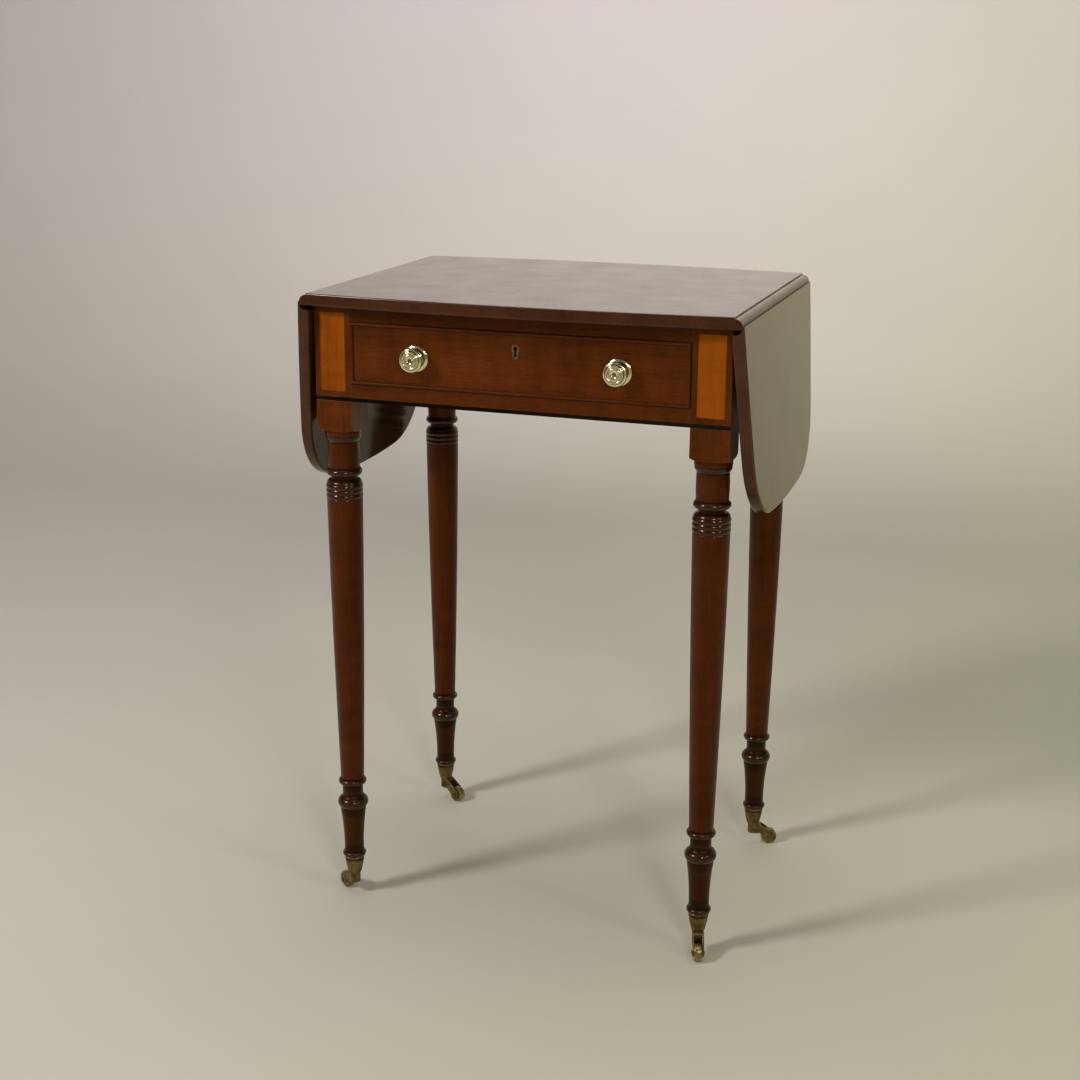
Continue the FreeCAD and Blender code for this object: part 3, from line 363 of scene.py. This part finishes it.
for step in range(corner_steps):
    turn = first_turn + (last_turn - first_turn) * step / corner_steps
    half_plan.append((corner_centre.x + corner_radius * math.cos(turn),
                      corner_centre.y + corner_radius * math.sin(turn)))
for step in range(end_steps):
    y = arc_end.y * (1 - step / end_steps)
    half_plan.append((end_centre.x + math.sqrt(end_radius ** 2 - y ** 2), y))
plan = half_plan + [(leaf_end, 0)] + [(x, -y) for x, y in reversed(half_plan)]
cove_radius, cove_steps = rule_radius + rule_gap, 20
past_edge, past_ends = -0.002, 0.25
long_flap, flap_root, flap_half = 0.040, 0.008, 0.0252
for node, side, seed in (("right_leaf", 1, 15.0), ("left_leaf", -1, 27.0)):
    leaf = bmesh.new()
    corners = [leaf.verts.new((x, y, level)) for x, y in plan]
    sides = [leaf.edges.new(pair) for pair in zip(corners, corners[1:] + corners[:1])]
    face = bmesh.ops.edgenet_fill(leaf, edges=sides)["faces"]
    pulled = bmesh.ops.extrude_face_region(leaf, geom=face)["geom"]
    bmesh.ops.translate(leaf, verts=[part for part in pulled if isinstance(part, bmesh.types.BMVert)],
                        vec=(0, 0, underside - level))
    bmesh.ops.recalc_face_normals(leaf, faces=leaf.faces)
    rim = [edge for edge in leaf.edges if abs(edge.verts[0].co.z - edge.verts[1].co.z) < 0.001
           and max(vert.co.x for vert in edge.verts) > leaf_edge + 0.0001]
    round_arris(leaf, rim, radius=rim_round, segments=5)
    leaf_wood = board(node, seed, face=(side * math.sin(hang), 0, math.cos(hang)), polish=yellow_polish,
                      varnish=(1.0, 0.95, 0.66))
    leaf_piece = stood_in(node, leaf, [leaf_wood])
    cove = [(past_edge, below), (cove_radius, below)]
    for step in range(cove_steps + 1):
        turn = math.pi / 2 * step / cove_steps
        cove.append((cove_radius * math.cos(turn), cove_radius * math.sin(turn)))
    cove.append((past_edge, cove_radius))
    hollow = bmesh.new()
    prism(hollow, [(hinge_x + x, pin_z + z) for x, z in cove], -past_ends, past_ends)
    carved(leaf_piece, hollow)
    flap_seats = bmesh.new()
    for hinge_y in hinge_places:
        seat = [(flap_root, below), (long_flap, below), (long_flap, flap_top), (flap_root, flap_top)]
        outline = [(hinge_x + x, pin_z + z) for x, z in seat]
        prism(flap_seats, outline, hinge_y - flap_half, hinge_y + flap_half)
    carved(leaf_piece, flap_seats)
    hung = bmesh.new()
    hung.from_mesh(leaf_piece.data)
    bmesh.ops.rotate(hung, cent=(hinge_x, 0, pin_z), matrix=Matrix.Rotation(hang, 3, "Y"), verts=hung.verts)
    if side < 0:
        bmesh.ops.scale(hung, vec=(-1, 1, 1), verts=hung.verts)
        bmesh.ops.reverse_faces(hung, faces=hung.faces)
    hung.to_mesh(leaf_piece.data)
    hung.free()
    flats_first(leaf_piece)


# Table hinges. Cast brass flaps gone brown with age turn on iron pins under the rule joints, and
# are held by iron screws sunk flush with the brass.

def metal(name, dull, bright, sheen, patches=60.0):
    """Bare metal, bright where it is rubbed and dull between, dark in its hollows, with fine scratches."""
    made = bpy.data.materials.new(name)
    made.use_nodes = True
    tree = made.node_tree
    shader = tree.nodes["Principled BSDF"]
    shader.inputs["Metallic"].default_value = 1.0
    place = make_node(tree, "ShaderNodeTexCoord").outputs["Object"]
    stain = cloud(tree, place, scale=patches, detail=5.0, roughness=0.6)
    colour = ramp(tree, stain, (0.38, dull), (0.62, bright))
    hollow = make_node(tree, "ShaderNodeAttribute", attribute_name="hollow").outputs["Fac"]
    dirt = spread(tree, hollow, 0.02, 0.5, 0.0, 0.85)
    colour = tinted(tree, dirt, colour, (0.22, 0.17, 0.10), "MULTIPLY")
    tree.links.new(colour, shader.inputs["Base Color"])
    rub = cloud(tree, place, scale=patches * 4, detail=3.0)
    tree.links.new(spread(tree, rub, 0.3, 0.7, sheen * 0.7, sheen * 1.4), shader.inputs["Roughness"])
    scratch = cloud(tree, place, scale=patches * 30, detail=2.0)
    bump = make_node(tree, "ShaderNodeBump", {"Height": scratch, "Strength": 0.08, "Distance": 0.0002})
    tree.links.new(bump.outputs["Normal"], shader.inputs["Normal"])
    return made


def slotted(piece, toward, width, depth):
    """Cuts a driver's slot across the head of each screw; the heads face the given way."""
    made = bmesh.new()
    made.from_mesh(piece.data)
    heads = [face for face in made.faces
             if len(face.verts) > 20 and face.normal.dot(Vector(toward)) > 0.9]
    for head in heads:
        outward = head.normal.copy()
        middle = head.calc_center_median()
        across = outward.cross(Vector((0.35, 0.94, 0.2))).normalized()
        cut = [head, *head.edges, *head.verts]
        for side in (-0.5, 0.5):
            parted = bmesh.ops.bisect_plane(made, geom=cut, dist=0.000001,
                                            plane_co=middle + across * width * side, plane_no=across)
            cut = parted["geom"]
        strip = min((part for part in cut if isinstance(part, bmesh.types.BMFace)),
                    key=lambda part: (part.calc_center_median() - middle).length)
        sunk = bmesh.ops.extrude_face_region(made, geom=[strip])
        bmesh.ops.delete(made, geom=[strip], context="FACES_ONLY")
        bmesh.ops.translate(made, verts=[part for part in sunk["geom"] if isinstance(part, bmesh.types.BMVert)],
                            vec=outward * -depth)
    made.to_mesh(piece.data)
    made.free()


def finished(node, materials, ease, look=None, axis=None, rings=()):
    """Stands a finished copy in for a solid: its facets are joined and its arrises eased, and look gives the
    material for a face from its outward direction. A turning about the axis also learns where it is moulded
    and where it is hollow, with rings cut at the given heights to keep that off its plain lengths, and off
    what lies above the highest."""
    made = bmesh.new()
    made.from_mesh(frame["nodes"][node].data)
    bmesh.ops.remove_doubles(made, verts=made.verts, dist=0.000004)
    bmesh.ops.dissolve_degenerate(made, edges=made.edges, dist=0.00002)
    bmesh.ops.dissolve_limit(made, angle_limit=math.radians(0.05), verts=made.verts, edges=made.edges)
    for height in rings:
        bmesh.ops.bisect_plane(made, geom=made.verts[:] + made.edges[:] + made.faces[:], dist=0.00001,
                               plane_co=(0, 0, height), plane_no=(0, 0, 1))
    for face in made.faces:
        face.material_index = look(face.normal) if look else 0
    arrises = [edge for edge in made.edges if edge.calc_face_angle_signed(0.0) > arris_bend]
    eased = bmesh.ops.bevel(made, geom=arrises, offset=ease, offset_type="OFFSET", affect="EDGES", segments=2,
                            profile=0.5, clamp_overlap=False, material=-1)
    for face in eased["faces"]:
        face.material_index = 1
    if axis:
        moulded = made.verts.layers.float.new("moulded")
        hollow = made.verts.layers.float.new("hollow")
        for vert in made.verts:
            bends = [0.0]
            for edge in vert.link_edges:
                along = edge.verts[1].co - edge.verts[0].co
                if abs(along.dot(Vector(axis))) < 0.2 * along.length:
                    bends.append(edge.calc_face_angle_signed(0.0))
            if not rings or vert.co.z < max(rings):
                vert[moulded] = max(abs(bend) for bend in bends)
                vert[hollow] = -min(bends)
    for edge in made.edges:
        areas = sorted(face.calc_area() for face in edge.link_faces)
        bend = edge.calc_face_angle(0.0)
        alike = areas[-1] < 5 * areas[0]
        edge.smooth = bend < math.radians(4) or (bend < arris_bend and alike)
    for face in made.faces:
        face.smooth = True
    return stood_in(node, made, materials)


hinge_brass = metal("hinge_brass", dull=(0.16, 0.11, 0.05), bright=(0.34, 0.25, 0.11), sheen=0.42)
hinge_edge = metal("hinge_brass_edge", dull=(0.30, 0.22, 0.10), bright=(0.52, 0.40, 0.19), sheen=0.35)
screw_iron = metal("screw_iron", dull=(0.07, 0.06, 0.055), bright=(0.16, 0.145, 0.13), sheen=0.5)
screw_edge = metal("screw_iron_edge", dull=(0.16, 0.15, 0.14), bright=(0.30, 0.28, 0.26), sheen=0.4)
for node in ("hinge_top_flaps", "right_leaf_flaps", "left_leaf_flaps"):
    finished(node, [hinge_brass, hinge_edge], ease=0.00008)
finished("hinge_pins", [screw_iron, screw_edge], ease=0.00005)
head_ways = {"hinge_top_screws": (0, 0, -1), "right_leaf_screws": (-1, 0, 0), "left_leaf_screws": (1, 0, 0)}
for node, toward in head_ways.items():
    flap_screws = finished(node, [screw_iron, screw_edge], ease=0.00005)
    slotted(flap_screws, toward, width=0.0009, depth=0.0007)


# Legs. Each is turned from one length of mahogany, left square where the rails join it, with rings,
# a collar, a bead and a reeded band above the long taper, and a bulb above the caster.

corners = ("front_left", "front_right", "back_left", "back_right")


def darkened(material, *stops):
    """Multiplies a wood's colour by a tint that follows the height in metres."""
    tree = material.node_tree
    shader = tree.nodes["Principled BSDF"]
    own = make_node(tree, "ShaderNodeTexCoord").outputs["Object"]
    height = make_node(tree, "ShaderNodeSeparateXYZ", {"Vector": own}).outputs["Z"]
    made = make_node(tree, "ShaderNodeMix", {0: 1.0}, data_type="RGBA", blend_type="MULTIPLY")
    tree.links.new(shader.inputs["Base Color"].links[0].from_socket, made.inputs[6])
    tree.links.new(ramp(tree, height, *stops), made.inputs[7])
    tree.links.new(made.outputs[2], shader.inputs["Base Color"])


foot_tint, shaft_tint, no_tint = (0.38, 0.40, 0.42), (0.66, 0.56, 0.52), (1.0, 1.0, 1.0)
red_deep, red_warm = (0.045, 0.0095, 0.0012), (0.140, 0.031, 0.004)
worn_deep, worn_warm = (0.08, 0.024, 0.007), (0.16, 0.05, 0.016)
plain_ends = (0.1510, 0.4860, 0.5235, 0.5505, 0.5652)
for number, corner in enumerate(corners):
    leg_wood = wood("mahogany_leg_" + corner, "z", 40.0 + number, red_deep, red_warm, hand_polish)
    darkened(leg_wood, (0.142, foot_tint), (0.152, shaft_tint), (0.562, shaft_tint), (0.566, no_tint))
    leg_arris = wood("mahogany_leg_arris_" + corner, "z", 40.0 + number, worn_deep, worn_warm, hand_polish,
                     pores=0.2, chips=0.5)
    finished("leg_" + corner, [leg_wood, leg_arris], ease=0.0005, axis=(0, 0, 1),
             rings=plain_ends)


# Inlay. Satinwood panels are let into the squares of the legs, and a line of ebony runs along the
# foot of the frieze; both are glued in and scraped flush, and the satinwood is polished with the rest.

satinwood = wood("satinwood", "z", seed=60.0, deep=(0.20, 0.043, 0.0013), warm=(0.40, 0.096, 0.0035),
                 polish=hand_polish, pores=0.15)
ebony = wood("ebony", "x", seed=63.0, deep=(0.002, 0.0014, 0.001), warm=(0.008, 0.005, 0.003),
             polish=no_polish, pores=0.3)
finished("satinwood_panels", [satinwood, satinwood], ease=0.0001)
finished("ebony_lines", [ebony, ebony], ease=0.0001)


# Front and back rails. Mahogany rails are tenoned into the legs above and below the drawer, and one
# deep rail closes the back, dressed as a second drawer. Their hidden faces are left from the plane.

rail_wood = wood("mahogany_rail", "x", seed=70.0, deep=(0.036, 0.0075, 0.001), warm=(0.105, 0.023, 0.003),
                 polish=hand_polish)
rail_arris = wood("mahogany_rail_arris", "x", seed=70.0, deep=worn_deep, warm=worn_warm, polish=hand_polish,
                  pores=0.2, chips=0.5)


def front_look(outward):
    return 0 if outward.y < -0.5 else 2


def back_look(outward):
    return 0 if outward.y > 0.5 else 2


rail_looks = {"upper_drawer_rail": front_look, "lower_drawer_rail": front_look, "back_rail": back_look}
for node, rail_look in rail_looks.items():
    finished(node, [rail_wood, rail_arris, under_wood], ease=0.0002, look=rail_look)


# Side rails and fly rails. Plain beech behind the leaves: the inner rail joins the legs, the outer one
# is glued to it and carries the bracket that swings on a wooden knuckle and an iron pin.

beech = wood("stained_beech", "y", seed=80.0, deep=(0.06, 0.028, 0.012), warm=(0.13, 0.065, 0.03),
             polish=no_polish, pores=0.3)
beech_arris = wood("stained_beech_arris", "y", seed=80.0, deep=(0.10, 0.05, 0.025), warm=(0.19, 0.10, 0.05),
                   polish=no_polish, pores=0.2, chips=0.4)
for side in ("right", "left"):
    for node in (side + "_side_rail", side + "_fly_rail", side + "_fly_bracket"):
        finished(node, [beech, beech_arris], ease=0.0002)
finished("fly_pins", [screw_iron, screw_edge], ease=0.0002)


# Runners, kickers, stops and corner blocks. Small deal pieces glued inside the frame to carry and
# guide the drawer, with the iron screws that hold the top down.

deal = wood("deal", "y", seed=90.0, deep=(0.15, 0.085, 0.038), warm=(0.28, 0.17, 0.085), polish=no_polish,
            pores=0.2)
deal_arris = wood("deal_arris", "y", seed=90.0, deep=(0.18, 0.11, 0.055), warm=(0.32, 0.20, 0.11),
                  polish=no_polish, pores=0.2)
for node in ("drawer_runners", "drawer_kickers", "drawer_stops", "corner_blocks"):
    finished(node, [deal, deal_arris], ease=0.0004)
top_screws = finished("top_screws", [screw_iron, screw_edge], ease=0.0001)
slotted(top_screws, toward=(0, 0, -1), width=0.0012, depth=0.0010)


# Drawer. A mahogany front with oak sides, back and bottom: the sides are dovetailed to it and the
# bottom runs in grooves. The inside is unpolished.

front_wood = wood("mahogany_drawer_front", "x", seed=100.0, deep=red_deep, warm=red_warm,
                  polish=hand_polish)
front_arris = wood("mahogany_drawer_arris", "x", seed=100.0, deep=worn_deep, warm=worn_warm,
                   polish=hand_polish, pores=0.2, chips=0.5)
finished("drawer_front", [front_wood, front_arris, under_wood], ease=0.0002, look=front_look)
oak_side = wood("oak_drawer_side", "y", seed=110.0, deep=(0.15, 0.085, 0.035), warm=(0.30, 0.18, 0.085),
                polish=no_polish, pores=0.4)
oak_across = wood("oak_drawer_bottom", "x", seed=113.0, deep=(0.16, 0.09, 0.04), warm=(0.32, 0.19, 0.09),
                  polish=no_polish, pores=0.4)
oak_arris = wood("oak_arris", "y", seed=116.0, deep=(0.20, 0.12, 0.055), warm=(0.34, 0.21, 0.105),
                 polish=no_polish, pores=0.3)
for node in ("drawer_left_side", "drawer_right_side"):
    finished(node, [oak_side, oak_arris], ease=0.0004)
for node in ("drawer_back", "drawer_bottom"):
    finished(node, [oak_across, oak_arris], ease=0.0004)


# Cock beads. Thin mahogany strips with a rounded nose, mitred and glued into a rebate round the drawer
# front, and round the sham drawer at the back.

bead_wood = wood("mahogany_bead", "x", seed=120.0, deep=(0.036, 0.009, 0.0025), warm=(0.09, 0.025, 0.007),
                 polish=hand_polish)
for node in ("drawer_cock_bead", "sham_cock_bead"):
    frame["nodes"][node].data.materials.clear()
    frame["nodes"][node].data.materials.append(bead_wood)


# Knobs. Turned and polished brass with a ringed face over a rose, drawn tight by a nut on the spindle
# inside the drawer; the sham pair is glued into the back rail.

knob_brass = metal("knob_brass", dull=(0.76, 0.67, 0.38), bright=(0.94, 0.88, 0.60), sheen=0.15)
for node in ("drawer_left_knob", "drawer_right_knob", "sham_knobs"):
    finished(node, [knob_brass, knob_brass], ease=0.0002, axis=(0, 1, 0))
finished("knob_nuts", [hinge_brass, hinge_edge], ease=0.0003)


# Keyhole escutcheons and the lock. A thin cast brass plate is let into the wood round the keyhole; the
# brass lock behind it throws its bolt up into the rail.

plate_brass = metal("escutcheon_brass", dull=(0.12, 0.085, 0.045), bright=(0.25, 0.19, 0.11), sheen=0.45)
plate_edge = metal("escutcheon_edge", dull=(0.16, 0.12, 0.07), bright=(0.34, 0.27, 0.16), sheen=0.4)
for node in ("keyhole_escutcheon", "sham_escutcheon"):
    finished(node, [plate_brass, plate_edge], ease=0.0001)
for node in ("lock_case", "lock_bolt"):
    finished(node, [hinge_brass, hinge_edge], ease=0.0002)


# Casters. A brass cup is screwed to each foot; the horned fork turns in its base and carries a brass
# wheel on an iron axle. All are dark with age, and the edges and treads are rubbed bright.

caster_brass = metal("caster_brass", dull=(0.09, 0.062, 0.02), bright=(0.26, 0.19, 0.07),
                     sheen=0.4, patches=90.0)
caster_edge = metal("caster_edge", dull=(0.26, 0.19, 0.075), bright=(0.50, 0.39, 0.17),
                    sheen=0.32, patches=90.0)
wheel_brass = metal("wheel_brass", dull=(0.14, 0.10, 0.035), bright=(0.46, 0.36, 0.14),
                    sheen=0.34, patches=90.0)
finished("caster_cups", [caster_brass, caster_edge], ease=0.0002, axis=(0, 0, 1))
for corner in corners:
    finished("caster_fork_" + corner, [caster_brass, caster_edge], ease=0.0002)
    finished("caster_wheel_" + corner, [wheel_brass, caster_edge], ease=0.0002)
    finished("caster_axle_" + corner, [screw_iron, screw_edge], ease=0.0001)


# Studio. A pale round floor sweeps up into a wall on every side, so that no corner or horizon shows;
# its paint is yellower to the right, where the leaf mirrors it. Soft lamps hang to the front left, to
# the right and overhead, and one lights the wall behind.

sweep = bmesh.new()
floor_radius, sweep_radius, sweep_steps, wall_top = 3.2, 1.6, 12, 4.5
profile = [sweep.verts.new((0.0, 0.0, 0.0)), sweep.verts.new((floor_radius, 0.0, 0.0))]
for step in range(1, sweep_steps + 1):
    turn = math.pi / 2 * step / sweep_steps
    profile.append(sweep.verts.new((floor_radius + sweep_radius * math.sin(turn), 0.0,
                                    sweep_radius - sweep_radius * math.cos(turn))))
profile.append(sweep.verts.new((floor_radius + sweep_radius, 0.0, wall_top)))
edges = [sweep.edges.new(pair) for pair in zip(profile, profile[1:])]
bmesh.ops.spin(sweep, geom=profile + edges, cent=(0, 0, 0), axis=(0, 0, 1), angle=math.tau, steps=72,
               use_merge=True)
bmesh.ops.remove_doubles(sweep, verts=sweep.verts, dist=0.0001)
bmesh.ops.recalc_face_normals(sweep, faces=sweep.faces)
sweep_mesh = bpy.data.meshes.new("studio_floor")
sweep.to_mesh(sweep_mesh)
sweep.free()
sweep_mesh.shade_smooth()
studio_floor = bpy.data.objects.new("studio_floor", sweep_mesh)
bpy.context.scene.collection.objects.link(studio_floor)
floor_paint = bpy.data.materials.new("pale_paint")
floor_paint.use_nodes = True
paint_tree = floor_paint.node_tree
paint_shader = paint_tree.nodes["Principled BSDF"]
paint_place = make_node(paint_tree, "ShaderNodeTexCoord").outputs["Object"]
paint_spot = make_node(paint_tree, "ShaderNodeSeparateXYZ", {"Vector": paint_place})
paint_rise = spread(paint_tree, paint_spot.outputs["Z"], 0.0, 1.4, 0.0, 1.0)
paint_tone = ramp(paint_tree, paint_rise, (0.0, (0.69, 0.66, 0.605)), (1.0, (0.645, 0.605, 0.62)))
to_the_right = spread(paint_tree, paint_spot.outputs["X"], -1.0, 0.8, 0.0, 1.0)
paint_tone = tinted(paint_tree, to_the_right, paint_tone, (0.96, 1.0, 0.82), "MULTIPLY")
paint_wear = spread(paint_tree, cloud(paint_tree, paint_place, scale=1.6, detail=4.0), 0.3, 0.7, 0.0, 0.3)
paint_tone = tinted(paint_tree, paint_wear, paint_tone, (0.88, 0.88, 0.88), "MULTIPLY")
paint_tree.links.new(paint_tone, paint_shader.inputs["Base Color"])
paint_shader.inputs["Roughness"].default_value = 0.85
sweep_mesh.materials.append(floor_paint)


def lamp(name, place, aim, size, power, colour):
    light = bpy.data.lights.new(name, "AREA")
    light.shape = "DISK"
    light.size = size
    light.energy = power
    light.color = colour
    made = bpy.data.objects.new(name, light)
    made.location = place
    made.rotation_euler = (Vector(aim) - Vector(place)).to_track_quat("-Z", "Y").to_euler()
    bpy.context.scene.collection.objects.link(made)


lamp("key_lamp", place=(-1.9, -2.0, 2.3), aim=(0.0, 0.0, 0.45), size=0.65, power=48.0,
     colour=(1.0, 0.95, 0.93))
lamp("front_lamp", place=(1.6, -2.7, 2.0), aim=(0.0, 0.0, 0.4), size=0.6, power=19.0,
     colour=(1.0, 0.96, 0.90))
lamp("side_lamp", place=(2.4, -1.0, 1.9), aim=(0.3, 0.2, 0.4), size=0.5, power=6.0,
     colour=(1.0, 0.94, 0.72))
lamp("top_lamp", place=(0.0, 0.2, 3.2), aim=(0.0, 0.2, 0.0), size=2.4, power=25.0,
     colour=(1.0, 0.97, 0.90))
lamp("wall_lamp", place=(-0.5, 2.3, 2.7), aim=(-0.6, 5.0, 1.9), size=1.2, power=60.0,
     colour=(1.0, 0.96, 0.96))
world = bpy.data.worlds.new("soft_room")
world.use_nodes = True
world.node_tree.nodes["Background"].inputs["Color"].default_value = (0.95, 0.97, 1.0, 1.0)
world.node_tree.nodes["Background"].inputs["Strength"].default_value = 0.12
bpy.context.scene.world = world
bpy.context.scene.view_settings.view_transform = "Standard"


# Camera, at the photograph's own place and angle: a little above the top, to the right of the front.

view = bpy.data.cameras.new("photo_view")
view.sensor_width = 36.0
view.lens = 57.70
camera = bpy.data.objects.new("photo_view", view)
stand = Matrix.Translation((0.5991, -1.8410, 0.9791))
turn_right = Matrix.Rotation(math.radians(18.82), 4, "Z")
look_down = Matrix.Rotation(math.radians(90.0 - 16.16), 4, "X")
roll = Matrix.Rotation(math.radians(0.30), 4, "Z")
camera.matrix_world = stand @ turn_right @ look_down @ roll
bpy.context.scene.collection.objects.link(camera)
bpy.context.scene.camera = camera
